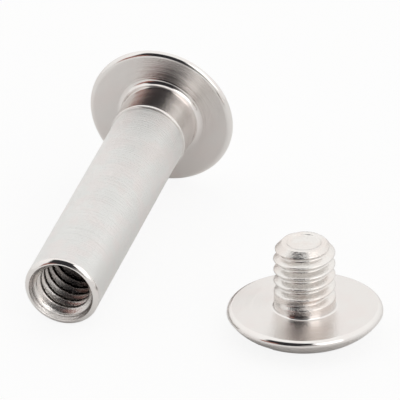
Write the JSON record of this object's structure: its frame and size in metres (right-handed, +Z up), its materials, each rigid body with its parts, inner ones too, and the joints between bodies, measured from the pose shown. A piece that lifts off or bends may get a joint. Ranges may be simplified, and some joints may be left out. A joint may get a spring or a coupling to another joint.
{
  "type": "binding barrel screw",
  "caption": "Binding barrel screw, unscrewed: a closed-end threaded barrel with a round slotted head and its short round-headed slotted screw.",
  "frame": {"origin": "middle of the set's footprint, on the surface that both pieces rest on", "axes": "+Z up, along the screw's stud; the barrel lies in the plane parallel to YZ with its mouth towards -Y"},
  "size_m": [0.0262, 0.026, 0.0103],
  "materials": {
    "nickel": "bright nickel plate, tumbled to a satin on the tube"
  },
  "bodies": {
    "root": {"barrel": "nickel", "screw": "nickel"}
  },
  "joints": []
}
